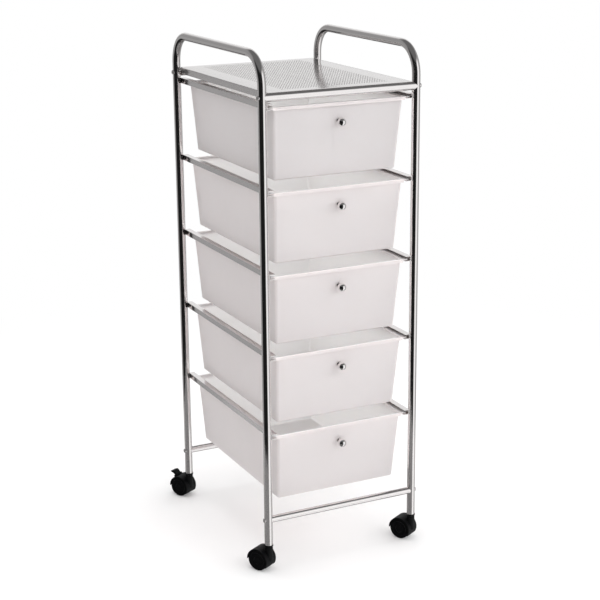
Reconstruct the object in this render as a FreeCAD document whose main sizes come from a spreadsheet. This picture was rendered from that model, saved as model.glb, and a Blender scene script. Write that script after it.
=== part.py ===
"""Rolling drawer cart: chromed tube frame, sheet steel top shelf, five drawers and four casters.

Millimetres. The origin lies on the floor in the middle of the four posts. X runs to the right,
Y to the back and Z up, so the drawers pull out along -Y.
"""
import FreeCAD
import Part
import Sketcher
import math
import os
import re

DRAWERS = 5
LEFT, RIGHT = -1, 1
FRONT, REAR = -1, 1
CASTERS = {"fl": (LEFT, FRONT), "fr": (RIGHT, FRONT), "rl": (LEFT, REAR), "rr": (RIGHT, REAR)}
BRAKED = ("rl", "rr")

# Driving dimensions, one cell each in the sheet
SIZES = {
    # side frames and the tubes between them
    "post_spacing_x": 300,
    "post_spacing_y": 384,
    "tube_od": 15,
    "tube_wall": 1,
    "bar_od": 13,
    "bar_rise": 49,
    "shelf_rise": 819,
    "handle_rise": 71,
    "handle_bend": 52,
    "joint_gap": 0.05,
    # screws through the posts and the threaded plugs that take them
    "screw_od": 5,
    "screw_hole_gap": 0.25,
    "screw_head_od": 8,
    "screw_head_height": 2,
    "screw_head_round": 1.5,
    "screw_reach": 11,
    "insert_length": 14,
    "insert_setback": 1,
    # top shelf
    "sheet": 1,
    "shelf_depth": 12,
    "shelf_lip": 2,
    "shelf_bend": 2,
    # drawer channels
    "rail_width": 11,
    "rail_height": 10,
    "rail_wall": 1,
    "rail_overhang": 3,
    "rail_drop": 21.5,
    # drawers
    "drawer_gap": 17.9,
    "drawer_clearance": 21.4,
    "drawer_side_gap": 4.5,
    "drawer_end_gap": 5,
    "drawer_side_draft": 6.5,
    "drawer_end_draft": 15.5,
    "drawer_wall": 1.8,
    "drawer_corner": 6,
    "drawer_foot_round": 4,
    "ear_thickness": 2.2,
    "ear_lift": 0.3,
    "ear_side_gap": 0.8,
    "rim_lip": 3,
    "rim_skirt": 6,
    "rim_corner": 5,
    "stop_gap": 0.3,
    # knobs
    "knob_od": 16,
    "knob_neck_od": 6.4,
    "knob_reach": 12.5,
    "knob_foot_od": 9,
    "knob_foot": 1.5,
    "knob_drop": 33,
    "knob_screw_od": 4,
    "knob_screw_depth": 9,
    "knob_screw_head_od": 8,
    "knob_screw_head": 2.4,
    "thread_gap": 0.05,
    # casters
    "wheel_od": 40,
    "wheel_width": 10.5,
    "wheel_round": 3,
    "wheel_inner_round": 1,
    "wheel_rim": 5,
    "wheel_dish": 1.2,
    "wheel_hub_od": 13,
    "wheel_side_gap": 1,
    "wheel_cap": 2.5,
    "caster_trail": 17,
    "caster_heading": 120,
    "hood_gap": 0.7,
    "hood_wall": 1.5,
    "hood_lip": 0.5,
    "hood_round": 1,
    "hood_over_top": 180,
    "hood_lead": 30,
    "web": 7,
    "axle_od": 6,
    "axle_boss_od": 14,
    "axle_gap": 0.05,
    "boss_od": 15,
    "boss_rise": 4.8,
    "stem_od": 8,
    "stem_depth": 14,
    "stem_grip": 20,
    "stem_shoulder_od": 11,
    "stem_shoulder": 0.7,
    "stem_tip_round": 1,
    "stem_gap": 0.05,
    "swivel_gap": 0.3,
    "socket_flange": 3,
    "socket_flange_od": 16.5,
    "socket_round": 1,
    "socket_length": 24,
    # brake levers
    "lever_angle": 60,
    "lever_width": 13,
    "lever_side_gap": 0.4,
    "lever_hub": 2.4,
    "lever_heel": 0.8,
    "lever_nose": 3.1,
    "lever_nose_width": 2,
    "lever_reach": 15.5,
    "lever_tip_rise": 6.4,
    "lever_peak": 10.6,
    "lever_peak_out": 5.6,
    "lever_under_rise": 3.2,
    "lever_under_out": 6.8,
    "lever_crown": 4.8,
    "lever_round": 0.7,
    "lever_slot": 8.6,
    "lever_slot_depth": 4.6,
    "lug_rise": 1.3,
    "lug_od": 4.8,
    "lug_crown": 2,
    "lug_width": 3.6,
    "lug_root": 0.7,
    "trunnion_od": 2.6,
    "trunnion_length": 3,
    "trunnion_gap": 0.05,
}

# Lengths that follow from the driving dimensions
DERIVED = {
    "wheel_r": "wheel_od / 2",
    "hood_inner": "wheel_r + hood_gap",
    "hood_outer": "hood_inner + hood_wall",
    "wheel_inner_face": "web / 2 + wheel_side_gap",
    "wheel_outer_face": "wheel_inner_face + wheel_width",
    "hood_half": "wheel_outer_face + hood_lip",
    "boss_top": "wheel_r + hood_outer + boss_rise",
    "shoulder_top": "boss_top + stem_shoulder",
    "socket_bottom": "shoulder_top + swivel_gap",
    "foot": "socket_bottom + socket_flange",
    "bar_z": "foot + bar_rise",
    "shelf_tube_z": "foot + shelf_rise",
    "handle_z": "shelf_tube_z + handle_rise",
    "post_x": "post_spacing_x / 2",
    "post_y": "post_spacing_y / 2",
    "inside_x": "post_x - tube_od / 2 - joint_gap",
    "shelf_top": "shelf_tube_z + tube_od / 2 + joint_gap + sheet",
    "shelf_end": "post_y + shelf_lip",
    "rail_z": "shelf_tube_z - rail_drop",
    "rim_top": "rail_z + rail_wall + ear_lift + ear_thickness",
    "drawer_pitch": f"(rim_top + drawer_gap - bar_z - bar_od / 2 - drawer_clearance) / {DRAWERS}",
    "drawer_depth": "drawer_pitch - drawer_gap",
    "ear_x": "inside_x - rail_wall - ear_side_gap",
    "top_x": "inside_x - rail_width - drawer_side_gap",
    "top_y": "post_y - drawer_end_gap",
    "foot_x": "top_x - drawer_side_draft",
    "foot_y": "top_y - drawer_end_draft",
    "rim_y": "top_y + rim_lip",
    "end_lean": "atan(drawer_end_draft / drawer_depth) / 1 deg",
    "knob_y": "top_y - knob_drop * drawer_end_draft / drawer_depth",
    "screw_seat": "tube_od / 2 + joint_gap",
    "lever_r": "hood_outer + lug_rise",
    "lever_x": "caster_trail + lever_r * cos(lever_angle)",
    "lever_z": "wheel_r + lever_r * sin(lever_angle)",
}

doc = FreeCAD.newDocument("rolling_drawer_cart")
sheet = doc.addObject("Spreadsheet::Sheet", "Sizes")
for row, (alias, number) in enumerate(SIZES.items(), start=1):
    sheet.set(f"A{row}", alias)
    sheet.set(f"B{row}", str(number))
    sheet.setAlias(f"B{row}", alias)
doc.recompute()
nodes = []


def formula(text):
    """Write a formula in size names as an expression on the sheet's cells."""
    def swap(match):
        name = match.group()
        if name in SIZES:
            return "Sizes." + name
        if name in DERIVED:
            return "(" + formula(DERIVED[name]) + ")"
        return name
    return re.sub(r"[a-z_][a-z0-9_]*", swap, str(text))


def value(text):
    """Evaluate a formula in millimetres or degrees."""
    return float(sheet.evalExpression(formula(text)))


def bind(item, **properties):
    """Tie properties of an object to formulas."""
    for name, text in properties.items():
        item.setExpression(name, formula(text))


def place(item, x=0, y=0, z=0, yaw=0, roll=0):
    """Tie an object's placement to formulas."""
    bind(item, Placement=f"placement(vector({x}; {y}; {z}); rotation({yaw}; 0; {roll}))")


def new_body(label):
    body = doc.addObject("PartDesign::Body", label)
    body.Label = label
    return body


def finish(item, label):
    """Name a finished sub-part and list it for writing."""
    item.Label = label
    nodes.append(item)


def origin_feature(body, role):
    return next(item for item in body.Origin.OriginFeatures if item.Role == role)


def new_sketch(body, name, plane, x=0, y=0, z=0, turn=0):
    """Start a sketch on an origin plane of its body, moved and turned in that plane's own axes."""
    sketch = body.newObject("Sketcher::SketchObject", name)
    sketch.AttachmentSupport = [(origin_feature(body, plane), "")]
    sketch.MapMode = "FlatFace"
    bind(sketch, AttachmentOffset=f"placement(vector({x}; {y}; {z}); rotation({turn}; 0; 0))")
    return sketch


def pin(sketch, geometry, point, x, y):
    """Hold a point of a sketch at formulas measured from the sketch's origin."""
    for kind, axis, text in (("DistanceX", -2, x), ("DistanceY", -1, y)):
        if str(text) == "0":
            sketch.addConstraint(Sketcher.Constraint("PointOnObject", geometry, point, axis))
            continue
        constraint = Sketcher.Constraint(kind, -1, 1, geometry, point, value(text))
        index = sketch.addConstraint(constraint)
        sketch.setExpression(f"Constraints[{index}]", formula(text))


def ring(sketch, diameter, x=0, y=0):
    """Draw a circle about a pinned centre."""
    centre = FreeCAD.Vector(value(x), value(y), 0)
    circle = Part.Circle(centre, FreeCAD.Vector(0, 0, 1), value(diameter) / 2)
    index = sketch.addGeometry(circle)
    pin(sketch, index, 3, x, y)
    size = sketch.addConstraint(Sketcher.Constraint("Diameter", index, value(diameter)))
    sketch.setExpression(f"Constraints[{size}]", formula(diameter))


def outline(sketch, corners, closed=True):
    """Draw straight runs through corners (x, y), rounded where a corner has a radius (x, y, r)."""
    count = len(corners)
    points = [FreeCAD.Vector(value(corner[0]), value(corner[1]), 0) for corner in corners]
    starts = list(points)
    ends = list(points)
    arcs = {}
    for index, corner in enumerate(corners):
        if len(corner) < 3:
            continue
        back = (points[index - 1] - points[index]).normalize()
        ahead = (points[(index + 1) % count] - points[index]).normalize()
        half = back.getAngle(ahead) / 2
        radius = value(corner[2])
        run = radius / math.tan(half)
        ends[index] = points[index] + back * run
        starts[index] = points[index] + ahead * run
        middle = (back + ahead).normalize()
        centre = points[index] + middle * (radius / math.sin(half))
        curve = Part.Arc(ends[index], centre - middle * radius, starts[index])
        left_turn = back.cross(ahead).z < 0
        arcs[index] = (curve, left_turn)
    runs = range(count if closed else count - 1)
    lines = {}
    for index in runs:
        follower = (index + 1) % count
        lines[index] = sketch.addGeometry(Part.LineSegment(starts[index], ends[follower]))
    for index, corner in enumerate(corners):
        before = lines.get((index - 1) % count)
        after = lines.get(index)
        if index in arcs:
            curve, left_turn = arcs[index]
            arc = sketch.addGeometry(curve)
            entry, leave = (1, 2) if left_turn else (2, 1)
            sketch.addConstraint(Sketcher.Constraint("Tangent", before, 2, arc, entry))
            sketch.addConstraint(Sketcher.Constraint("Tangent", after, 1, arc, leave))
            size = sketch.addConstraint(Sketcher.Constraint("Radius", arc, value(corner[2])))
            sketch.setExpression(f"Constraints[{size}]", formula(corner[2]))
            mark = sketch.addGeometry(Part.Point(points[index]), True)
            sketch.addConstraint(Sketcher.Constraint("PointOnObject", mark, 1, before))
            sketch.addConstraint(Sketcher.Constraint("PointOnObject", mark, 1, after))
            pin(sketch, mark, 1, corner[0], corner[1])
        elif before is None:
            pin(sketch, after, 1, corner[0], corner[1])
        else:
            if after is not None:
                sketch.addConstraint(Sketcher.Constraint("Coincident", before, 2, after, 1))
            pin(sketch, before, 2, corner[0], corner[1])


def box_outline(sketch, left, right, low, high, radius=None):
    """Draw a rectangle, with rounded corners where a radius is given."""
    rounding = () if radius is None else (radius,)
    corners = ((left, low), (right, low), (right, high), (left, high))
    outline(sketch, [corner + rounding for corner in corners])


def pad(body, name, sketch, length, symmetric=False):
    feature = body.newObject("PartDesign::Pad", name)
    feature.Profile = sketch
    feature.SideType = "Symmetric" if symmetric else "One side"
    bind(feature, Length=length)
    return feature


def pocket(body, name, sketch, length=None, symmetric=True):
    """Cut a sketch to a length about its plane or below it, or right through both ways."""
    feature = body.newObject("PartDesign::Pocket", name)
    feature.Profile = sketch
    feature.SideType = "Symmetric" if symmetric else "One side"
    if length is None:
        feature.Type = "ThroughAll"
    else:
        bind(feature, Length=length)


def turned(body, name, sketch, axis, kind="PartDesign::Revolution"):
    """Revolve a sketch all the way round one of its own axes."""
    feature = body.newObject(kind, name)
    feature.Profile = sketch
    feature.ReferenceAxis = (sketch, [axis])
    feature.Angle = 360
    return feature


def side_frame(label, side):
    """Inverted U of tube: front post, handle bow and rear post, drilled for the screws."""
    body = new_body(label)
    spine = new_sketch(body, "spine", "YZ_Plane")
    rise = "handle_z - foot"
    outline(spine, [("-post_y", 0), ("-post_y", rise, "handle_bend"),
                    ("post_y", rise, "handle_bend"), ("post_y", 0)], closed=False)
    section = new_sketch(body, "section", "XY_Plane")
    ring(section, "tube_od", 0, "-post_y")
    ring(section, "tube_od - 2 * tube_wall", 0, "-post_y")
    pipe = body.newObject("PartDesign::AdditivePipe", "bow")
    pipe.Profile = section
    pipe.Spine = spine
    holes = new_sketch(body, "screw_holes", "YZ_Plane")
    for y in ("-post_y", "post_y"):
        for height in ("bar_rise", "shelf_rise"):
            ring(holes, "screw_od + 2 * screw_hole_gap", y, height)
    pocket(body, "drilling", holes)
    place(body, f"{side} * post_x", 0, "foot")
    finish(body, label)


def cross_tube(label, diameter, end, height):
    """Tube across the cart, its ends coped to fit round the posts."""
    body = new_body(label)
    section = new_sketch(body, "section", "YZ_Plane")
    ring(section, diameter)
    ring(section, f"{diameter} - 2 * tube_wall")
    pad(body, "tube", section, "post_spacing_x", symmetric=True)
    posts = new_sketch(body, "posts", "XY_Plane")
    for x in ("-post_x", "post_x"):
        ring(posts, "tube_od + 2 * joint_gap", x)
    pocket(body, "coping", posts)
    place(body, 0, f"{end} * post_y", height)
    finish(body, label)


def repeat_at_posts(body, feature):
    """Repeat a fastener of the front left bar at the shelf tube, the rear and the right."""
    up = body.newObject("PartDesign::LinearPattern", "upper")
    up.Direction = (origin_feature(body, "Z_Axis"), [""])
    up.Mode = "Extent"
    up.Occurrences = 2
    bind(up, Length="shelf_tube_z - bar_z")
    rear = body.newObject("PartDesign::Mirrored", "rear")
    rear.MirrorPlane = (origin_feature(body, "XZ_Plane"), [""])
    right = body.newObject("PartDesign::Mirrored", "right")
    right.MirrorPlane = (origin_feature(body, "YZ_Plane"), [""])
    every = body.newObject("PartDesign::MultiTransform", "every_post")
    every.Originals = [feature]
    every.Transformations = [up, rear, right]
    body.Tip = every


def frame_screws():
    """Eight pan head screws through the posts."""
    body = new_body("frame_screws")
    profile = new_sketch(body, "profile", "XZ_Plane", "-post_x", "bar_z", "post_y")
    head = "-screw_seat - screw_head_height"
    tip = "tube_od / 2 + screw_reach"
    outline(profile, [(head, 0), (head, "screw_head_od / 2", "screw_head_round"),
                      ("-screw_seat", "screw_head_od / 2"), ("-screw_seat", "screw_od / 2"),
                      (tip, "screw_od / 2"), (tip, 0)])
    screw = turned(body, "screw", profile, "H_Axis")
    repeat_at_posts(body, screw)
    finish(body, "frame_screws")


def tube_inserts():
    """Eight threaded plugs, pressed into the ends of the bars and of the shelf tubes."""
    plugs = []
    for name, diameter, height in (("bar", "bar_od", "bar_z"), ("shelf", "tube_od", "shelf_tube_z")):
        for end in (FRONT, REAR):
            for side in (LEFT, RIGHT):
                body = new_body(f"{name}_insert")
                section = new_sketch(body, "section", "YZ_Plane", f"{end} * post_y", height)
                ring(section, f"{diameter} - 2 * tube_wall - 2 * joint_gap")
                ring(section, "screw_od + 2 * thread_gap")
                plug = pad(body, "plug", section, "insert_length")
                plug.Reversed = side == RIGHT
                place(body, f"{side} * (post_x - tube_od / 2 - insert_setback)")
                plugs.append(body)
    group = doc.addObject("Part::Compound", "tube_inserts")
    group.Links = plugs
    finish(group, "tube_inserts")


def top_shelf():
    """Sheet shelf with folded-down sides, laid on the two shelf tubes."""
    body = new_body("top_shelf")
    fold = new_sketch(body, "fold", "XZ_Plane")
    low = "shelf_top - shelf_depth"
    under = "shelf_top - sheet"
    inner = "inside_x - sheet"
    inner_bend = "shelf_bend - sheet"
    outline(fold, [("-inside_x", low), ("-inside_x", "shelf_top", "shelf_bend"),
                   ("inside_x", "shelf_top", "shelf_bend"), ("inside_x", low),
                   (inner, low), (inner, under, inner_bend),
                   (f"-({inner})", under, inner_bend), (f"-({inner})", low)])
    pad(body, "sheet", fold, "2 * shelf_end", symmetric=True)
    ends = new_sketch(body, "ends", "XY_Plane", z=under)
    clear_y = "post_y - tube_od / 2 - joint_gap"
    for end in (FRONT, REAR):
        for side in (LEFT, RIGHT):
            box_outline(ends, f"{side} * (inside_x + sheet)", f"{side} * (inside_x - shelf_bend)",
                        f"{end} * (shelf_end + sheet)", f"{end} * ({clear_y})")
    pocket(body, "end_notches", ends)
    finish(body, "top_shelf")


def rail(label, side, level):
    """Folded C-channel, open towards the drawer and closed at the rear by a stop."""
    body = new_body(label)
    fold = new_sketch(body, "fold", "XZ_Plane")
    web = f"{side} * inside_x"
    web_face = f"{side} * (inside_x - rail_wall)"
    mouth = f"{side} * (inside_x - rail_width)"
    upper = "rail_height - rail_wall"
    outline(fold, [(web, 0), (web, "rail_height"), (mouth, "rail_height"), (mouth, upper),
                   (web_face, upper), (web_face, "rail_wall"), (mouth, "rail_wall"), (mouth, 0)])
    pad(body, "channel", fold, "2 * (post_y + rail_overhang)", symmetric=True)
    tab = new_sketch(body, "tab", "XZ_Plane", z="-(rim_y + stop_gap)")
    box_outline(tab, web, mouth, 0, "rail_height")
    stop = pad(body, "stop", tab, "rail_wall")
    stop.Reversed = True
    place(body, 0, 0, f"rail_z - {level - 1} * drawer_pitch")
    finish(body, label)


def edges_within(item, low, high):
    """Name the edges of a feature that lie between two heights of its body."""
    doc.recompute()
    names = []
    for index, edge in enumerate(item.Shape.Edges, start=1):
        if edge.BoundBox.ZMin > low and edge.BoundBox.ZMax < high:
            names.append(f"Edge{index}")
    return names


def rounded(body, name, item, edges, radius):
    feature = body.newObject("PartDesign::Fillet", name)
    feature.Base = (item, edges)
    bind(feature, Radius=radius)
    return feature


def tapered_block(name, low, inset_x, inset_y):
    """Form of the drawer, drawn in by the insets, with round upright corners and a round foot."""
    body = new_body(name)
    share = f"({low}) / drawer_depth"
    bottom_x = f"foot_x + drawer_side_draft * {share} - {inset_x}"
    bottom_y = f"foot_y + drawer_end_draft * {share} - {inset_y}"
    block = body.newObject("PartDesign::AdditiveWedge", "block")
    bind(block, Ymin=0, Ymax=f"drawer_depth - {low}",
         Xmin=f"-({bottom_x})", Xmax=bottom_x, Zmin=f"-({bottom_y})", Zmax=bottom_y,
         X2min=f"-(top_x - {inset_x})", X2max=f"top_x - {inset_x}",
         Z2min=f"-(top_y - {inset_y})", Z2max=f"top_y - {inset_y}")
    place(block, 0, 0, low, roll=90)
    depth = value("drawer_depth")
    level = edges_within(block, -depth, depth / 2) + edges_within(block, depth / 2, 2 * depth)
    upright = [name for name in edges_within(block, -depth, 2 * depth) if name not in level]
    corners = rounded(body, "corners", block, upright, f"drawer_corner - {inset_x}")
    lower = edges_within(corners, -depth, depth / 2)
    rounded(body, "foot_round", corners, lower, f"drawer_foot_round - {inset_x}")
    return body


def drawer_tub(level):
    """Tapered tub with a rounded foot, its rim turned out to ears and to a lip at both ends."""
    body = tapered_block(f"drawer_{level}_outside", 0, 0, 0)
    rim = new_sketch(body, "rim", "XY_Plane", z="drawer_depth - ear_thickness")
    box_outline(rim, "-ear_x", "ear_x", "-rim_y", "rim_y", "rim_corner")
    pad(body, "ears", rim, "ear_thickness")
    lip = new_sketch(body, "lip", "XY_Plane", z="drawer_depth - rim_skirt")
    skirt_x = "top_x + drawer_wall"
    for end in (FRONT, REAR):
        box_outline(lip, f"-({skirt_x})", skirt_x, f"{end} * rim_y", f"{end} * (rim_y - drawer_wall)")
    pad(body, "skirt", lip, "rim_skirt")
    inside = tapered_block(f"drawer_{level}_inside", "drawer_wall", "drawer_wall",
                           "drawer_wall / cos(end_lean)")
    tub = doc.addObject("Part::Cut", f"drawer_{level}_tub")
    tub.Base = body
    tub.Tool = inside
    return tub


def place_on_front(item, level, along=0):
    """Set a piece built along +Z square on the drawer's leaning front, at the knob."""
    height = f"rim_top - {level - 1} * drawer_pitch - knob_drop"
    place(item, 0, f"-knob_y - ({along}) * cos(end_lean)", f"{height} - ({along}) * sin(end_lean)",
          roll="90 + end_lean")


def cylinder(name, diameter, length, z=0):
    item = doc.addObject("Part::Cylinder", name)
    bind(item, Radius=f"({diameter}) / 2", Height=length)
    place(item, 0, 0, z)
    return item


def fused(name, pieces):
    item = doc.addObject("Part::MultiFuse", name)
    item.Shapes = pieces
    return item


def drawer(level):
    """One drawer: tub drilled for the knob, ball knob and the screw that holds it."""
    tub = drawer_tub(level)
    place(tub, 0, 0, f"rim_top - {level - 1} * drawer_pitch - drawer_depth")
    drill = cylinder("drill", "knob_screw_od + 2 * screw_hole_gap", "4 * drawer_wall")
    place_on_front(drill, level, "-2 * drawer_wall")
    tray = doc.addObject("Part::Cut", f"drawer_{level}_tray")
    tray.Base = tub
    tray.Tool = drill
    finish(tray, f"drawer_{level}_tray")

    ball = doc.addObject("Part::Sphere", "ball")
    bind(ball, Radius="knob_od / 2")
    place(ball, 0, 0, "knob_reach")
    neck = cylinder("neck", "knob_neck_od", "knob_reach")
    foot = cylinder("foot", "knob_foot_od", "knob_foot")
    knob = doc.addObject("Part::Cut", f"drawer_{level}_knob")
    knob.Base = fused("knob_form", [ball, neck, foot])
    knob.Tool = cylinder("thread", "knob_screw_od + 2 * thread_gap", "knob_screw_depth + knob_foot")
    place_on_front(knob, level)
    finish(knob, f"drawer_{level}_knob")

    shank = cylinder("shank", "knob_screw_od", "knob_screw_depth + drawer_wall", "-drawer_wall")
    head = cylinder("head", "knob_screw_head_od", "knob_screw_head", "-drawer_wall - knob_screw_head")
    screw = fused(f"drawer_{level}_screw", [shank, head])
    place_on_front(screw, level)
    finish(screw, f"drawer_{level}_screw")


def caster_socket(label, side, end):
    """Plug in the foot of a post, with the collar that shows below the tube."""
    body = new_body(label)
    profile = new_sketch(body, "profile", "XZ_Plane")
    bore = "stem_od / 2 + stem_gap"
    plug = "tube_od / 2 - tube_wall - joint_gap"
    top = "foot + socket_length"
    rim = "socket_flange_od / 2"
    outline(profile, [(bore, "socket_bottom"), (rim, "socket_bottom", "socket_round"), (rim, "foot"),
                      (plug, "foot"), (plug, top), (bore, top)])
    turned(body, "socket", profile, "V_Axis")
    place(body, f"{side} * post_x", f"{end} * post_y")
    finish(body, label)


def caster_hood(body, braked):
    """Hood over both wheels, with the web between them and the bosses for axle and stem."""
    arch = new_sketch(body, "arch", "XY_Plane", "caster_trail", 0, "wheel_r")
    outline(arch, [(0, "-hood_half"), ("-hood_outer", "-hood_half", "hood_round"),
                   ("-hood_outer", "hood_half", "hood_round"), (0, "hood_half")])
    hood = body.newObject("PartDesign::Revolution", "hood")
    hood.Profile = arch
    hood.ReferenceAxis = (arch, ["V_Axis"])
    hood.Type = "TwoAngles"
    bind(hood, Angle="hood_over_top", Angle2="hood_lead")
    boss = new_sketch(body, "boss", "XY_Plane", z="wheel_r")
    ring(boss, "boss_od")
    pad(body, "stem_boss", boss, "boss_top - wheel_r")
    if braked:
        lug = new_sketch(body, "lug", "XZ_Plane", "lever_x", "lever_z", turn="lever_angle - 90")
        root = "-lug_rise - lug_root"
        outline(lug, [("-lug_od / 2", root), ("lug_od / 2", root), ("lug_od / 2", "lug_od / 2", "lug_crown"),
                      ("-lug_od / 2", "lug_od / 2", "lug_crown")])
        pad(body, "pivot_lugs", lug, "lever_width + 2 * (lever_side_gap + lug_width)", symmetric=True)
    spaces = new_sketch(body, "spaces", "XY_Plane", "caster_trail", 0, "wheel_r")
    for side in (LEFT, RIGHT):
        box_outline(spaces, "-hood_inner", 0, f"{side} * web / 2", f"{side} * (hood_half + boss_od)")
    turned(body, "wheel_spaces", spaces, "V_Axis", "PartDesign::Groove")
    hub = new_sketch(body, "hub", "XZ_Plane", "caster_trail", "wheel_r")
    ring(hub, "axle_boss_od")
    pad(body, "axle_boss", hub, "web", symmetric=True)
    bore = new_sketch(body, "bore", "XZ_Plane", "caster_trail", "wheel_r")
    ring(bore, "axle_od + 2 * joint_gap")
    pocket(body, "axle_bore", bore)
    pin_hole = new_sketch(body, "pin_hole", "XY_Plane", z="boss_top")
    ring(pin_hole, "stem_od + 2 * joint_gap")
    pocket(body, "stem_bore", pin_hole, "stem_depth", symmetric=False)
    if braked:
        slot = new_sketch(body, "slot", "XZ_Plane", "lever_x", "lever_z", turn="lever_angle - 90")
        box_outline(slot, "-lever_slot / 2", "lever_slot / 2", "-lever_slot_depth", "hood_outer")
        pocket(body, "lever_slot", slot, "lever_width + 2 * lever_side_gap")
        pivot = new_sketch(body, "pivot", "XZ_Plane", "lever_x", "lever_z")
        ring(pivot, "trunnion_od + 2 * trunnion_gap")
        pocket(body, "pivot_holes", pivot, "lever_width + 2 * (trunnion_length + lever_side_gap)")


def caster_stem(body):
    """Swivel pin, pressed into the hood and turning in the socket."""
    profile = new_sketch(body, "profile", "XZ_Plane")
    low = "boss_top - stem_depth"
    top = "foot + stem_grip"
    outline(profile, [(0, low), ("stem_od / 2", low), ("stem_od / 2", "boss_top"),
                      ("stem_shoulder_od / 2", "boss_top"), ("stem_shoulder_od / 2", "shoulder_top"),
                      ("stem_od / 2", "shoulder_top"), ("stem_od / 2", top, "stem_tip_round"), (0, top)])
    turned(body, "pin", profile, "V_Axis")


def caster_axle(body):
    section = new_sketch(body, "section", "XZ_Plane", "caster_trail", "wheel_r")
    ring(section, "axle_od")
    pad(body, "axle", section, "2 * (wheel_outer_face - wheel_cap - axle_gap)", symmetric=True)


def caster_wheel(body, side):
    """Wheel with a rounded tread, a dished face and a closed hub over the axle's end."""
    profile = new_sketch(body, "profile", "XY_Plane", "caster_trail", 0, "wheel_r")
    bore = "axle_od / 2 + axle_gap"
    inner = f"{side} * wheel_inner_face"
    outer = f"{side} * wheel_outer_face"
    floor = f"{side} * (wheel_outer_face - wheel_dish)"
    seat = f"{side} * (wheel_outer_face - wheel_cap)"
    outline(profile, [(bore, inner), ("wheel_r", inner, "wheel_inner_round"),
                      ("wheel_r", outer, "wheel_round"), ("wheel_r - wheel_rim", outer),
                      ("wheel_r - wheel_rim - wheel_dish", floor), ("wheel_hub_od / 2 + wheel_dish", floor),
                      ("wheel_hub_od / 2", outer), (0, outer), (0, seat), (bore, seat)])
    turned(body, "wheel", profile, "V_Axis")


def caster_brake(body):
    """Lever that rocks in a slot of the hood and lowers its nose towards both treads."""
    shape = new_sketch(body, "shape", "XZ_Plane", "lever_x", "lever_z")
    outline(shape, [("-lever_hub", "-lever_heel", "lever_round"), ("-lever_hub", "lever_hub", "lever_round"),
                    ("lever_peak_out", "lever_peak", "lever_crown"),
                    ("lever_reach", "lever_tip_rise", "lever_round"),
                    ("lever_under_out", "lever_under_rise", "lever_crown"),
                    ("lever_hub", "-lever_heel", "lever_round"),
                    ("lever_nose_width / 2", "-lever_nose", "lever_round"),
                    ("-lever_nose_width / 2", "-lever_nose", "lever_round")])
    pad(body, "lever", shape, "lever_width", symmetric=True)
    pivot = new_sketch(body, "pivot", "XZ_Plane", "lever_x", "lever_z")
    ring(pivot, "trunnion_od")
    pad(body, "trunnions", pivot, "lever_width + 2 * trunnion_length", symmetric=True)


def caster(name, side, end):
    """One twin-wheel caster, built about its stem and turned to its heading."""
    builders = {
        "hood": lambda body: caster_hood(body, name in BRAKED),
        "stem": caster_stem,
        "axle": caster_axle,
        "wheel_a": lambda body: caster_wheel(body, RIGHT),
        "wheel_b": lambda body: caster_wheel(body, LEFT),
    }
    if name in BRAKED:
        builders["brake"] = caster_brake
    for piece, build in builders.items():
        body = new_body(f"caster_{name}_{piece}")
        build(body)
        place(body, f"{side} * post_x", f"{end} * post_y", yaw="caster_heading")
        finish(body, f"caster_{name}_{piece}")


side_frame("left_side_frame", LEFT)
side_frame("right_side_frame", RIGHT)
cross_tube("top_front_tube", "tube_od", FRONT, "shelf_tube_z")
cross_tube("top_rear_tube", "tube_od", REAR, "shelf_tube_z")
cross_tube("bottom_front_bar", "bar_od", FRONT, "bar_z")
cross_tube("bottom_rear_bar", "bar_od", REAR, "bar_z")
frame_screws()
tube_inserts()
top_shelf()
for level in range(1, DRAWERS + 1):
    rail(f"left_rail_{level}", LEFT, level)
    rail(f"right_rail_{level}", RIGHT, level)
    drawer(level)
for name, (side, end) in CASTERS.items():
    caster_socket(f"caster_socket_{name}", side, end)
    caster(name, side, end)
doc.recompute()

for item in doc.Objects:
    if "Invalid" in item.State or "Error" in item.State:
        raise RuntimeError(f"{item.Name} ({item.Label}) did not build: {item.State}")
for item in nodes:
    if item.Shape.isNull() or not item.Shape.isValid() or not item.Shape.Solids:
        raise RuntimeError(f"{item.Label} has no valid solid")

os.makedirs("parts", exist_ok=True)
for item in nodes:
    item.Shape.exportStep(f"parts/{item.Label}.step")
print(len(nodes), "nodes written")
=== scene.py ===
"""Looks of a rolling drawer cart: finishes, perforated shelf, screw heads and a studio stage.

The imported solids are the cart's frame. Chrome, moulded plastic and black caster plastic go on them,
and the pieces with finer detail than the solids carry are modelled here and ride on the same bodies.
"""

import math

import bmesh
import bpy
from bpy.props import FloatProperty, FloatVectorProperty, PointerProperty
from mathutils import Matrix, Vector


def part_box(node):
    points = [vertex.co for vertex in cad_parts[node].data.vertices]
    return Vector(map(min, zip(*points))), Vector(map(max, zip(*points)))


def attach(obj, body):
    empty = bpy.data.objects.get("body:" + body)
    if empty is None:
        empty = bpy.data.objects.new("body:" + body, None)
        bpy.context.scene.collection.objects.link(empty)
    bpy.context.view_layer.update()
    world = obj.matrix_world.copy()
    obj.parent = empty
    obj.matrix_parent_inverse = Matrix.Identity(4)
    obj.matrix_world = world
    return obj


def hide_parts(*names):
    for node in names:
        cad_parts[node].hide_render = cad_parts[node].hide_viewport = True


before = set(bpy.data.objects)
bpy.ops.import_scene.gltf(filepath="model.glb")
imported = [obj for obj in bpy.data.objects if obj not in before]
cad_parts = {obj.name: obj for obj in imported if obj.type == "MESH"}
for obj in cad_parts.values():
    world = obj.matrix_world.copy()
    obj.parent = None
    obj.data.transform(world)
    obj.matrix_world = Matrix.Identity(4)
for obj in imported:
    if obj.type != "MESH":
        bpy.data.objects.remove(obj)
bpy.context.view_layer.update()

bl_info = {
    "name": "Rolling Drawer Cart",
    "version": (1, 0, 0),
    "blender": (4, 5, 0),
    "location": "View3D > Sidebar > Cart",
    "description": "Finishes, perforated shelf and studio stage for a rolling drawer cart",
    "category": "Object",
}

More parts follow.
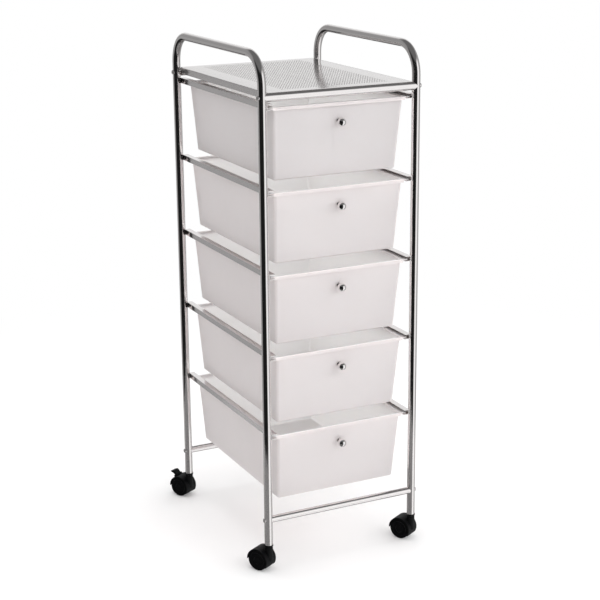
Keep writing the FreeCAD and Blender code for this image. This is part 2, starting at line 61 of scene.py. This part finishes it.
SHELF_LOW, SHELF_HIGH = (Vector(corner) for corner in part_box("top_shelf"))
SCREWS_LOW, SCREWS_HIGH = (Vector(corner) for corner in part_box("frame_screws"))
NEAR = 1e-5
SCREW_HEIGHT = 0.002
SCREW_SKIRT = 0.0013
# Blur of the plating on pieces that are not as bright as the tubes.
RAIL_BLUR, SHELF_BLUR, SCREW_BLUR, STEEL_BLUR = 0.05, 0.09, 0.16, 0.3
SHELF_METAL = 0.86
SHELF_SHADE = 0.79
PHOTO_PIXELS = 600
PHOTO_FOCAL_PIXELS = 1502.02
SENSOR_MM = 36.0
CAMERA_PLACE = (-1.20648, -2.47865, 1.24327)
CAMERA_TURN = (73.8952, 0.4824, -26.3258)
FLOOR_HALF = 20.0
KEY_SIZE, KEY_PLACE, KEY_TARGET = 1.6, (1.5, -2.4, 2.6), (0.0, 0.0, 0.5)
TOP_SIZE, TOP_PLACE, TOP_TARGET = 1.0, (-0.12, 0.05, 3.2), (0.0, 0.0, 0.0)
DARK_CEILING = 0.14
LIGHT_CEILING = 0.3
# Brightness of the studio walls by direction, in degrees from +X towards +Y.
MIRRORED_HIGH = ((-88, 0.01), (-78, 1.0), (-44, 1.0), (-28, 0.4), (36, 0.4), (48, 0.85), (76, 0.85),
                 (100, 0.32), (144, 0.28), (160, 0.03))
MIRRORED_LOW = ((-88, 0.01), (-78, 1.0), (-44, 1.0), (-28, 0.42), (62, 0.34), (152, 0.36), (166, 0.01))
MIRRORED_DEEP = ((-88, 0.01), (-78, 1.0), (-44, 1.0), (-28, 0.42), (50, 0.3), (74, 0.03), (166, 0.01))
LIGHTING_WALLS = ((-150, 0.3), (-125, 1.0), (-60, 1.0), (60, 0.75), (130, 0.56), (170, 0.26))


class ChromeFinish(bpy.types.PropertyGroup):
    """Plated tube, rails, knobs and screws."""
    color: FloatVectorProperty(
        name="Plating", description="Colour of the plated metal", subtype="COLOR", size=3,
        min=0.0, max=1.0, default=(0.86, 0.832, 0.827))
    roughness: FloatProperty(
        name="Roughness", description="Blur of the plating's reflections", subtype="FACTOR",
        min=0.0, max=1.0, default=0.07)
    smudge: FloatProperty(
        name="Smudges", description="Extra blur where hands and cloths have touched the plating",
        subtype="FACTOR", min=0.0, max=0.5, default=0.06)


class DrawerFinish(bpy.types.PropertyGroup):
    """Moulded frosted plastic of the drawers."""
    color: FloatVectorProperty(
        name="Plastic", description="Colour of the moulded drawers", subtype="COLOR", size=3,
        min=0.0, max=1.0, default=(0.80, 0.69, 0.68))
    # Painted light: the inner walls get this paler colour so that they look lit by light passing through the
    # frosted walls into the drawers.
    inside: FloatVectorProperty(
        name="Inside", description="Colour of the paler, smoother inside of the drawers", subtype="COLOR",
        size=3, min=0.0, max=1.0, default=(1.0, 0.955, 0.95))
    roughness: FloatProperty(
        name="Roughness", description="Blur of the drawers' sheen", subtype="FACTOR",
        min=0.0, max=1.0, default=0.45)
    glow: FloatProperty(
        name="Glow Depth", description="How far light travels inside the frosted walls", subtype="DISTANCE",
        unit="LENGTH", min=0.0, max=0.1, default=0.013)
    grain: FloatProperty(
        name="Grain", description="Size of the frosted grain", subtype="DISTANCE", unit="LENGTH",
        min=0.0002, max=0.01, default=0.0008)


class CasterFinish(bpy.types.PropertyGroup):
    """Black plastic of casters, sockets and brake levers."""
    color: FloatVectorProperty(
        name="Plastic", description="Colour of the caster plastic", subtype="COLOR", size=3,
        min=0.0, max=1.0, default=(0.0025, 0.0026, 0.003))
    roughness: FloatProperty(
        name="Roughness", description="Blur of the plastic's sheen", subtype="FACTOR",
        min=0.0, max=1.0, default=0.42)


class ShelfSizes(bpy.types.PropertyGroup):
    """Perforation of the top shelf."""
    hole: FloatProperty(
        name="Hole", description="Diameter of each hole in the sheet", subtype="DISTANCE", unit="LENGTH",
        min=0.001, max=0.01, default=0.0025)
    pitch: FloatProperty(
        name="Pitch", description="Distance between neighbouring holes", subtype="DISTANCE", unit="LENGTH",
        min=0.002, max=0.02, default=0.005)
    side_border: FloatProperty(
        name="Side Border", description="Plain strip along the left and right edges", subtype="DISTANCE",
        unit="LENGTH", min=0.0, max=0.1, default=0.036)
    end_border: FloatProperty(
        name="End Border", description="Plain strip along the front and rear edges", subtype="DISTANCE",
        unit="LENGTH", min=0.0, max=0.1, default=0.019)
    thickness: FloatProperty(
        name="Sheet", description="Thickness of the sheet", subtype="DISTANCE", unit="LENGTH",
        min=0.0003, max=0.003, default=0.001)
    bend: FloatProperty(
        name="Bend", description="Outer radius of the folded sides", subtype="DISTANCE", unit="LENGTH",
        min=0.001, max=0.01, default=0.002)
    notch: FloatProperty(
        name="Notch", description="Length of the corner that is cut away beside each post",
        subtype="DISTANCE", unit="LENGTH", min=0.0, max=0.05, default=0.00955)


class ScrewSizes(bpy.types.PropertyGroup):
    """Pan heads of the frame screws."""
    head: FloatProperty(
        name="Head", description="Diameter of each screw head", subtype="DISTANCE", unit="LENGTH",
        min=0.004, max=0.02, default=0.008)
    recess: FloatProperty(
        name="Recess", description="Span of the cross recess", subtype="DISTANCE", unit="LENGTH",
        min=0.001, max=0.01, default=0.0039)


class StageSettings(bpy.types.PropertyGroup):
    """Floor, lamps and surroundings."""
    floor_color: FloatVectorProperty(
        name="Floor", description="Colour of the studio floor", subtype="COLOR", size=3,
        min=0.0, max=1.0, default=(0.93, 0.93, 0.93))
    floor_lift: FloatProperty(
        name="Floor Lift", description="Share of plain white in the floor that the camera sees",
        subtype="FACTOR", min=0.0, max=1.0, default=0.1)
    floor_thinness: FloatProperty(
        name="Floor Thinness", description="Share of the surroundings in the floor that metal mirrors",
        subtype="FACTOR", min=0.0, max=1.0, default=0.8)
    ambient: FloatProperty(
        name="Ambient", description="Strength of the even light from all round", min=0.0, max=3.0,
        default=1.93)
    key: FloatProperty(
        name="Key Lamp", description="Power of the large lamp at the front right", subtype="POWER",
        unit="POWER", min=0.0, max=2000.0, default=12.0)
    top: FloatProperty(
        name="Top Lamp", description="Power of the large lamp overhead", subtype="POWER", unit="POWER",
        min=0.0, max=2000.0, default=30.0)


def nodes_named(*endings):
    """CAD objects whose node names end in one of the given words."""
    return [item for name, item in sorted(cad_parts.items()) if name.endswith(endings)]


def paint(items, material):
    """Put one material in the slots of each object."""
    for item in items:
        item.data.materials.clear()
        item.data.materials.append(material)


def new_material(name):
    """A node material with its shader and a texture coordinate node."""
    material = bpy.data.materials.new(name)
    material.use_nodes = True
    tree = material.node_tree
    shader = tree.nodes["Principled BSDF"]
    place = tree.nodes.new("ShaderNodeTexCoord")
    return material, tree, shader, place.outputs["Object"]


def noise(tree, place, scale, detail=3.0, roughness=0.5):
    """A noise texture read in metres on the object."""
    texture = tree.nodes.new("ShaderNodeTexNoise")
    texture.inputs["Scale"].default_value = scale
    texture.inputs["Detail"].default_value = detail
    texture.inputs["Roughness"].default_value = roughness
    tree.links.new(place, texture.inputs["Vector"])
    return texture.outputs["Fac"]


def spread(tree, value, low, high):
    """Map a noise value's middle range to a range of numbers."""
    mapping = tree.nodes.new("ShaderNodeMapRange")
    mapping.inputs["From Min"].default_value = 0.3
    mapping.inputs["From Max"].default_value = 0.7
    mapping.inputs["To Min"].default_value = low
    mapping.inputs["To Max"].default_value = high
    tree.links.new(value, mapping.inputs["Value"])
    return mapping.outputs["Result"]


def tint(tree, value, first, second):
    """Blend two colours by a value."""
    mix = tree.nodes.new("ShaderNodeMix")
    mix.data_type = "RGBA"
    mix.inputs["A"].default_value = (*first, 1.0)
    mix.inputs["B"].default_value = (*second, 1.0)
    tree.links.new(value, mix.inputs["Factor"])
    return mix.outputs["Result"]


def bump(tree, shader, height, strength, distance):
    """Raise the surface by a height value."""
    node = tree.nodes.new("ShaderNodeBump")
    node.inputs["Strength"].default_value = strength
    node.inputs["Distance"].default_value = distance
    tree.links.new(height, node.inputs["Height"])
    tree.links.new(node.outputs["Normal"], shader.inputs["Normal"])


def link_math(tree, operation, first, second):
    """A math node on two values or sockets."""
    node = tree.nodes.new("ShaderNodeMath")
    node.operation = operation
    for socket, value in zip(node.inputs, (first, second)):
        if isinstance(value, (int, float)):
            socket.default_value = value
        else:
            tree.links.new(value, socket)
    return node.outputs["Value"]


def mix_colors(tree, share, first, second):
    """Blend two colours, each a socket or an even grey."""
    node = tree.nodes.new("ShaderNodeMix")
    node.data_type = "RGBA"
    tree.links.new(share, node.inputs["Factor"])
    for socket, value in ((node.inputs["A"], first), (node.inputs["B"], second)):
        if isinstance(value, float):
            socket.default_value = (value, value, value, 1.0)
        else:
            tree.links.new(value, socket)
    return node.outputs["Result"]


def scaled(color, factor):
    return tuple(min(1.0, channel * factor) for channel in color)


def chrome_material(name, settings, roughness, metal=1.0, shade=1.0):
    """Bright plating with faint smudges and the slight waviness of drawn tube."""
    material, tree, shader, place = new_material(name)
    shader.inputs["Metallic"].default_value = metal
    cloud = noise(tree, place, 24.0, 4.0, 0.6)
    color = tint(tree, cloud, scaled(settings.color, 0.97 * shade), scaled(settings.color, 1.02 * shade))
    tree.links.new(color, shader.inputs["Base Color"])
    wipe = spread(tree, noise(tree, place, 65.0, 5.0, 0.65), roughness, roughness + settings.smudge)
    tree.links.new(wipe, shader.inputs["Roughness"])
    bump(tree, shader, noise(tree, place, 30.0, 1.0), 0.02, 0.001)
    return material


def black_material(name, settings, brightness, grain, gloss):
    """Spark-textured black plastic."""
    material, tree, shader, place = new_material(name)
    cloud = noise(tree, place, 90.0, 4.0, 0.6)
    color = tint(tree, cloud, scaled(settings.color, brightness), scaled(settings.color, 1.8 * brightness))
    tree.links.new(color, shader.inputs["Base Color"])
    rough = spread(tree, noise(tree, place, 160.0, 3.0), settings.roughness, settings.roughness + 0.12)
    tree.links.new(rough, shader.inputs["Roughness"])
    shader.inputs["Specular IOR Level"].default_value = gloss
    bump(tree, shader, noise(tree, place, 2200.0, 2.0), grain, 0.0002)
    return material


def new_piece(name, mesh, material, body, replaced, crease):
    """Finish a bmesh as an object on a body of the cart, with edges above the crease angle left sharp."""
    data = bpy.data.meshes.new(name)
    for face in mesh.faces:
        face.smooth = True
    mesh.to_mesh(data)
    mesh.free()
    data.set_sharp_from_angle(angle=math.radians(crease))
    data.materials.append(material)
    item = bpy.data.objects.new(name, data)
    bpy.context.scene.collection.objects.link(item)
    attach(item, body)
    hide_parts(*replaced)


class CART_OT_finish_chrome(bpy.types.Operator):
    """Plate the tubes, rails, knobs and screws"""
    bl_idname = "cart.finish_chrome"
    bl_label = "Plate Chromed Pieces"

    def execute(self, context):
        settings = context.scene.cart_chrome
        plating = chrome_material("bright_chrome", settings, settings.roughness)
        paint(nodes_named("_frame", "_tube", "_bar", "_knob"), plating)
        paint(frame_rails(), chrome_material("rail_chrome", settings, settings.roughness + RAIL_BLUR))
        steel = chrome_material("plain_steel", settings, STEEL_BLUR)
        paint(nodes_named("_stem", "_axle", "_screw", "tube_inserts"), steel)
        return {"FINISHED"}


def frame_rails():
    return [item for name, item in sorted(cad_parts.items()) if "_rail_" in name]


def facing_out(tree, place):
    """1 on walls that face away from the middle of the cart, 0 on walls that face it, which get the painted
    light of the paler inside colour.
    """
    level = tree.nodes.new("ShaderNodeVectorMath")
    level.operation = "MULTIPLY"
    level.inputs[1].default_value = (1.0, 1.0, 0.0)
    tree.links.new(place, level.inputs[0])
    normal = tree.nodes.new("ShaderNodeNewGeometry").outputs["Normal"]
    dot = tree.nodes.new("ShaderNodeVectorMath")
    dot.operation = "DOT_PRODUCT"
    tree.links.new(level.outputs["Vector"], dot.inputs[0])
    tree.links.new(normal, dot.inputs[1])
    return link_math(tree, "GREATER_THAN", dot.outputs["Value"], 0.0)


class CART_OT_finish_drawers(bpy.types.Operator):
    """Give the drawers their frosted moulded plastic"""
    bl_idname = "cart.finish_drawers"
    bl_label = "Finish Drawers"

    def execute(self, context):
        settings = context.scene.cart_drawers
        material, tree, shader, place = new_material("frosted_plastic")
        cloud = noise(tree, place, 9.0, 3.0)
        outside = tint(tree, cloud, scaled(settings.color, 0.985), scaled(settings.color, 1.01))
        # Painted light: the inner walls take the paler inside colour, a painted glow for light that comes
        # through the frosted walls.
        inside = tint(tree, cloud, scaled(settings.inside, 0.985), settings.inside)
        color = mix_colors(tree, facing_out(tree, place), inside, outside)
        tree.links.new(color, shader.inputs["Base Color"])
        rough = spread(tree, noise(tree, place, 50.0, 3.0), settings.roughness, settings.roughness + 0.1)
        tree.links.new(rough, shader.inputs["Roughness"])
        shader.inputs["Specular IOR Level"].default_value = 0.4
        shader.inputs["Subsurface Weight"].default_value = 1.0
        shader.inputs["Subsurface Radius"].default_value = (1.0, 0.95, 0.92)
        shader.inputs["Subsurface Scale"].default_value = settings.glow
        bump(tree, shader, noise(tree, place, 1.0 / settings.grain, 2.0), 0.05, 0.0002)
        paint(nodes_named("_tray"), material)
        return {"FINISHED"}


def holed_cell(mesh, width, length, hole):
    """One cell of the sheet: eight faces between a rectangle and an eight-sided hole."""
    bmesh.ops.create_grid(mesh, x_segments=2, y_segments=2, size=0.5,
                          matrix=Matrix.Diagonal((width, length, 1.0, 1.0)))
    middle = [vertex for vertex in mesh.verts if vertex.co.length < NEAR]
    bmesh.ops.delete(mesh, geom=middle, context="VERTS")
    bmesh.ops.create_circle(mesh, segments=8, radius=hole / 2)
    bmesh.ops.bridge_loops(mesh, edges=mesh.edges[:])


def everything(mesh):
    return mesh.verts[:] + mesh.edges[:] + mesh.faces[:]


def repeat(mesh, geometry, step, count):
    """Copy geometry in a straight line until there are count of it."""
    bmesh.ops.spin(mesh, geom=geometry, cent=(0, 0, 0), axis=(0, 0, 1), dvec=step, angle=0.0,
                   steps=count - 1, use_duplicate=True)


def holed_field(mesh, pitch, hole, columns, rows):
    """Staggered rows of cells, centred on the origin."""
    row = pitch * math.sqrt(3) / 2
    holed_cell(mesh, pitch, row, hole)
    cell = everything(mesh)
    first = bmesh.ops.duplicate(mesh, geom=cell)["geom"]
    moved = [item for item in first if isinstance(item, bmesh.types.BMVert)]
    bmesh.ops.translate(mesh, vec=(pitch / 2, row, 0), verts=moved)
    repeat(mesh, first, (pitch, 0, 0), columns - 1)
    repeat(mesh, cell, (pitch, 0, 0), columns)
    half_cell = Matrix.Diagonal((pitch / 2, row, 1.0, 1.0))
    for x in (-pitch / 4, (columns - 0.75) * pitch):
        bmesh.ops.create_grid(mesh, x_segments=1, y_segments=2, size=0.5,
                              matrix=Matrix.Translation((x, row, 0)) @ half_cell)
    repeat(mesh, everything(mesh), (0, 2 * row, 0), rows // 2)
    bmesh.ops.remove_doubles(mesh, verts=mesh.verts[:], dist=NEAR)
    to_middle = ((1 - columns) * pitch / 2, (1 - rows) * row / 2, 0)
    bmesh.ops.translate(mesh, vec=to_middle, verts=mesh.verts[:])


def edge_at(mesh, axis, place):
    """Outer edges of the sheet that lie at one coordinate."""
    return [edge for edge in mesh.edges if edge.is_boundary
            and all(abs(vertex.co[axis] - place) < NEAR for vertex in edge.verts)]


def stretch_edge(mesh, edges, axis, place):
    """Extrude edges straight to a coordinate."""
    grown = bmesh.ops.extrude_edge_only(mesh, edges=edges)["geom"]
    for item in grown:
        if isinstance(item, bmesh.types.BMVert):
            item.co[axis] = place


def fold_side(mesh, side, fold, reach, bend, drop):
    """Bend one side of the sheet down and give it its flange."""
    edges = [edge for edge in edge_at(mesh, 0, side * fold)
             if all(abs(vertex.co.y) < reach + NEAR for vertex in edge.verts)]
    corners = list({vertex for edge in edges for vertex in edge.verts})
    turned = bmesh.ops.spin(mesh, geom=edges + corners, cent=(side * fold, 0, -bend), axis=(0, 1, 0),
                            angle=side * math.pi / 2, steps=4)["geom_last"]
    stretch_edge(mesh, [item for item in turned if isinstance(item, bmesh.types.BMEdge)], 2, -drop)


class CART_OT_perforate_shelf(bpy.types.Operator):
    """Model the top shelf as folded sheet with staggered round holes"""
    bl_idname = "cart.perforate_shelf"
    bl_label = "Perforate Shelf"

    def execute(self, context):
        sizes = context.scene.cart_shelf
        half_width, half_length, top = SHELF_HIGH
        columns = int(2 * (half_width - sizes.side_border) / sizes.pitch)
        row = sizes.pitch * math.sqrt(3) / 2
        rows = 2 * int((half_length - sizes.end_border) / row)
        if columns < 2 or rows < 2:
            raise ValueError("the borders leave no room for holes")
        mesh = bmesh.new()
        holed_field(mesh, sizes.pitch, sizes.hole, columns, rows)
        fold = half_width - sizes.bend
        reach = half_length - sizes.notch
        for side in (-1, 1):
            stretch_edge(mesh, edge_at(mesh, 0, side * columns * sizes.pitch / 2), 0, side * fold)
        for end in (-1, 1):
            stretch_edge(mesh, edge_at(mesh, 1, end * rows * row / 2), 1, end * reach)
            stretch_edge(mesh, edge_at(mesh, 1, end * reach), 1, end * half_length)
        for side in (-1, 1):
            fold_side(mesh, side, fold, reach, sizes.bend, top - SHELF_LOW.z)
        bmesh.ops.recalc_face_normals(mesh, faces=mesh.faces[:])
        if sum(face.normal.z * face.calc_area() for face in mesh.faces) < 0:
            bmesh.ops.reverse_faces(mesh, faces=mesh.faces[:])
        bmesh.ops.solidify(mesh, geom=mesh.faces[:], thickness=sizes.thickness)
        bmesh.ops.translate(mesh, vec=(0, 0, top), verts=mesh.verts[:])
        chrome = context.scene.cart_chrome
        material = chrome_material("shelf_plating", chrome, SHELF_BLUR, SHELF_METAL, SHELF_SHADE)
        new_piece("perforated_shelf", mesh, material, "frame", ("top_shelf",), 50)
        return {"FINISHED"}


def pan_head(mesh, radius, height, skirt, recess):
    """Pan head with a cross recess, facing +Z, its seat at the origin and its skirt below it."""
    bmesh.ops.create_grid(mesh, x_segments=3, y_segments=3, size=recess / 2)
    corners = [face for face in mesh.faces
               if all(abs(value) > recess / 6 for value in face.calc_center_median()[:2])]
    bmesh.ops.delete(mesh, geom=corners, context="FACES")
    bmesh.ops.translate(mesh, vec=(0, 0, -0.35 * height), verts=mesh.verts[:])
    stretch_edge(mesh, [edge for edge in mesh.edges if edge.is_boundary], 2, height)
    rim = [edge for edge in mesh.edges if edge.is_boundary]
    crown = bmesh.ops.create_circle(mesh, segments=24, radius=0.68 * radius,
                                    matrix=Matrix.Translation((0, 0, height)))["verts"]
    loop = list({edge for vertex in crown for edge in vertex.link_edges})
    bmesh.ops.bridge_loops(mesh, edges=rim + loop)
    for share, level in ((0.88, 0.86 * height), (0.98, 0.5 * height), (1.0, -skirt)):
        loop = bmesh.ops.extrude_edge_only(mesh, edges=loop)["geom"]
        ring = [item for item in loop if isinstance(item, bmesh.types.BMVert)]
        loop = [item for item in loop if isinstance(item, bmesh.types.BMEdge)]
        for vertex in ring:
            vertex.co.xy = vertex.co.xy.normalized() * share * radius
            vertex.co.z = level
    bmesh.ops.recalc_face_normals(mesh, faces=mesh.faces[:])


class CART_OT_model_screws(bpy.types.Operator):
    """Model the frame screws' pan heads with their cross recesses"""
    bl_idname = "cart.model_screws"
    bl_label = "Model Screw Heads"

    def execute(self, context):
        sizes = context.scene.cart_screws
        mesh = bmesh.new()
        post = SCREWS_HIGH.x - SCREW_HEIGHT
        middle = (SCREWS_LOW.z + SCREWS_HIGH.z) / 2
        for side in (-1, 1):
            for end in (SCREWS_LOW.y, SCREWS_HIGH.y):
                for level in (SCREWS_LOW.z, SCREWS_HIGH.z):
                    head = bmesh.new()
                    pan_head(head, sizes.head / 2, SCREW_HEIGHT, SCREW_SKIRT, sizes.recess)
                    inset = sizes.head / 2
                    place = (side * post, end - math.copysign(inset, end),
                             level - math.copysign(inset, level - middle))
                    head.transform(Matrix.Translation(place) @ Matrix.Rotation(side * math.pi / 2, 4, "Y"))
                    data = bpy.data.meshes.new("head")
                    head.to_mesh(data)
                    head.free()
                    mesh.from_mesh(data)
                    bpy.data.meshes.remove(data)
        material = chrome_material("screw_plating", context.scene.cart_chrome, SCREW_BLUR)
        new_piece("screw_heads", mesh, material, "frame", ("frame_screws",), 40)
        return {"FINISHED"}


class CART_OT_finish_casters(bpy.types.Operator):
    """Give casters, sockets and brake levers their black plastic"""
    bl_idname = "cart.finish_casters"
    bl_label = "Finish Casters"

    def execute(self, context):
        settings = context.scene.cart_casters
        paint(nodes_named("_hood", "_brake"), black_material("hood_plastic", settings, 1.0, 0.12, 0.14))
        paint(nodes_named("_wheel_a", "_wheel_b"), black_material("wheel_plastic", settings, 0.8, 0.2, 0.07))
        sockets = [item for name, item in sorted(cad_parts.items())
                   if name.startswith("caster_socket")]
        paint(sockets, black_material("socket_plastic", settings, 1.1, 0.1, 0.12))
        return {"FINISHED"}


class CART_OT_build_stage(bpy.types.Operator):
    """Lay the pale floor, set the lamps and place the camera"""
    bl_idname = "cart.build_stage"
    bl_label = "Build Stage"

    def execute(self, context):
        settings = context.scene.cart_stage
        floor_mesh = bmesh.new()
        bmesh.ops.create_grid(floor_mesh, x_segments=1, y_segments=1, size=FLOOR_HALF)
        data = bpy.data.meshes.new("floor")
        floor_mesh.to_mesh(data)
        floor_mesh.free()
        floor = bpy.data.objects.new("floor", data)
        context.scene.collection.objects.link(floor)
        data.materials.append(floor_material(settings))
        light_world(context.scene, settings)
        add_lamp(context.scene, "key_lamp", settings.key, KEY_SIZE, KEY_PLACE, KEY_TARGET)
        add_lamp(context.scene, "top_lamp", settings.top, TOP_SIZE, TOP_PLACE, TOP_TARGET)
        place_camera(context.scene)
        context.scene.view_settings.view_transform = "Standard"
        return {"FINISHED"}


def mix_shaders(tree, share, first, second):
    node = tree.nodes.new("ShaderNodeMixShader")
    tree.links.new(share, node.inputs["Fac"])
    tree.links.new(first, node.inputs[1])
    tree.links.new(second, node.inputs[2])
    return node.outputs["Shader"]


def beyond(tree, distance, near, far):
    """A smooth step from 0 to 1 between two distances."""
    node = tree.nodes.new("ShaderNodeMapRange")
    node.interpolation_type = "SMOOTHSTEP"
    node.inputs["From Min"].default_value = near
    node.inputs["From Max"].default_value = far
    tree.links.new(distance, node.inputs["Value"])
    return node.outputs["Result"]


def floor_material(settings):
    """White sheet that keeps the cart's shadow, and lets metal see the surroundings past its edge."""
    material = bpy.data.materials.new("studio_floor")
    material.use_nodes = True
    tree = material.node_tree
    tree.nodes.clear()
    path = tree.nodes.new("ShaderNodeLightPath").outputs
    place = tree.nodes.new("ShaderNodeTexCoord").outputs["Object"]
    length = tree.nodes.new("ShaderNodeVectorMath")
    length.operation = "LENGTH"
    tree.links.new(place, length.inputs[0])
    distance = length.outputs["Value"]
    sheet = tree.nodes.new("ShaderNodeBsdfDiffuse")
    sheet.inputs["Color"].default_value = (*settings.floor_color, 1.0)
    white = tree.nodes.new("ShaderNodeEmission").outputs["Emission"]
    clear = tree.nodes.new("ShaderNodeBsdfTransparent").outputs["BSDF"]
    paleness = link_math(tree, "MAXIMUM", beyond(tree, distance, 0.5, 1.6), settings.floor_lift)
    seen = link_math(tree, "MULTIPLY", path["Is Camera Ray"], paleness)
    thinness = link_math(tree, "MAXIMUM", beyond(tree, distance, 0.5, 0.85), settings.floor_thinness)
    mirrored = link_math(tree, "MULTIPLY", path["Is Glossy Ray"], thinness)
    surface = mix_shaders(tree, mirrored, mix_shaders(tree, seen, sheet.outputs["BSDF"], white), clear)
    out = tree.nodes.new("ShaderNodeOutputMaterial")
    tree.links.new(surface, out.inputs["Surface"])
    return material


def wall_ramp(tree, around, walls):
    """Brightness of the studio walls round the horizon."""
    ramp = tree.nodes.new("ShaderNodeValToRGB")
    tree.links.new(around, ramp.inputs["Fac"])
    stops = ramp.color_ramp.elements
    while len(stops) < len(walls):
        stops.new(0.5)
    for stop, (angle, level) in zip(stops, walls):
        stop.position = angle / 360 + 0.5
        stop.color = (level, level, level, 1.0)
    return ramp.outputs["Color"]


def light_world(scene, settings):
    """White for the camera, soft light from pale walls, and a darker room for metal to mirror."""
    world = bpy.data.worlds.new("studio")
    world.use_nodes = True
    scene.world = world
    tree = world.node_tree
    background = tree.nodes["Background"]
    path = tree.nodes.new("ShaderNodeLightPath").outputs
    direction = tree.nodes.new("ShaderNodeTexCoord").outputs["Generated"]
    around = tree.nodes.new("ShaderNodeTexGradient")
    around.gradient_type = "RADIAL"
    tree.links.new(direction, around.inputs["Vector"])
    split = tree.nodes.new("ShaderNodeSeparateXYZ")
    tree.links.new(direction, split.inputs["Vector"])
    height = split.outputs["Z"]
    around = around.outputs["Fac"]
    walls = mix_colors(tree, beyond(tree, height, -0.45, -0.33), wall_ramp(tree, around, MIRRORED_DEEP),
                       wall_ramp(tree, around, MIRRORED_LOW))
    walls = mix_colors(tree, beyond(tree, height, -0.05, 0.05), walls,
                       wall_ramp(tree, around, MIRRORED_HIGH))
    room = mix_colors(tree, beyond(tree, height, 0.45, 0.75), walls, DARK_CEILING)
    light = mix_colors(tree, beyond(tree, height, 0.5, 0.9), wall_ramp(tree, around, LIGHTING_WALLS),
                       LIGHT_CEILING)
    color = mix_colors(tree, path["Is Glossy Ray"], light, room)
    seen = link_math(tree, "MAXIMUM", path["Is Camera Ray"], path["Is Transmission Ray"])
    tree.links.new(mix_colors(tree, seen, color, 1.0), background.inputs["Color"])
    strength = tree.nodes.new("ShaderNodeMapRange")
    strength.inputs["To Min"].default_value = settings.ambient
    strength.inputs["To Max"].default_value = 1.0
    tree.links.new(link_math(tree, "MAXIMUM", seen, path["Is Glossy Ray"]), strength.inputs["Value"])
    tree.links.new(strength.outputs["Result"], background.inputs["Strength"])


def add_lamp(scene, name, power, size, place, target):
    """A square soft lamp aimed at a point, left out of reflections."""
    lamp = bpy.data.lights.new(name, "AREA")
    lamp.energy = power
    lamp.size = size
    item = bpy.data.objects.new(name, lamp)
    item.location = place
    item.rotation_euler = (Vector(target) - Vector(place)).to_track_quat("-Z", "Y").to_euler()
    item.visible_glossy = False
    scene.collection.objects.link(item)


def place_camera(scene):
    """Camera at the photograph's viewpoint."""
    camera = bpy.data.cameras.new("camera")
    camera.sensor_width = SENSOR_MM
    camera.lens = PHOTO_FOCAL_PIXELS / PHOTO_PIXELS * SENSOR_MM
    item = bpy.data.objects.new("camera", camera)
    item.location = CAMERA_PLACE
    item.rotation_euler = tuple(math.radians(angle) for angle in CAMERA_TURN)
    scene.collection.objects.link(item)
    scene.camera = item


class CART_PT_sidebar(bpy.types.Panel):
    """Steps and settings of the cart"""
    bl_idname = "CART_PT_sidebar"
    bl_label = "Rolling Drawer Cart"
    bl_space_type = "VIEW_3D"
    bl_region_type = "UI"
    bl_category = "Cart"

    def draw(self, context):
        for step in STEPS:
            self.layout.operator(step.bl_idname)


STEPS = (CART_OT_finish_chrome, CART_OT_finish_drawers, CART_OT_perforate_shelf, CART_OT_model_screws,
         CART_OT_finish_casters, CART_OT_build_stage)
GROUPS = {"cart_chrome": ChromeFinish, "cart_drawers": DrawerFinish, "cart_casters": CasterFinish,
          "cart_shelf": ShelfSizes, "cart_screws": ScrewSizes, "cart_stage": StageSettings}


def register():
    for item in (*GROUPS.values(), *STEPS, CART_PT_sidebar):
        bpy.utils.register_class(item)
    for name, group in GROUPS.items():
        setattr(bpy.types.Scene, name, PointerProperty(type=group))


def unregister():
    for name in GROUPS:
        delattr(bpy.types.Scene, name)
    for item in (CART_PT_sidebar, *reversed(STEPS), *reversed(GROUPS.values())):
        bpy.utils.unregister_class(item)


def main():
    register()
    bpy.ops.cart.finish_chrome()
    bpy.ops.cart.finish_drawers()
    bpy.ops.cart.perforate_shelf()
    bpy.ops.cart.model_screws()
    bpy.ops.cart.finish_casters()
    bpy.ops.cart.build_stage()


if __name__ == "__main__":
    main()
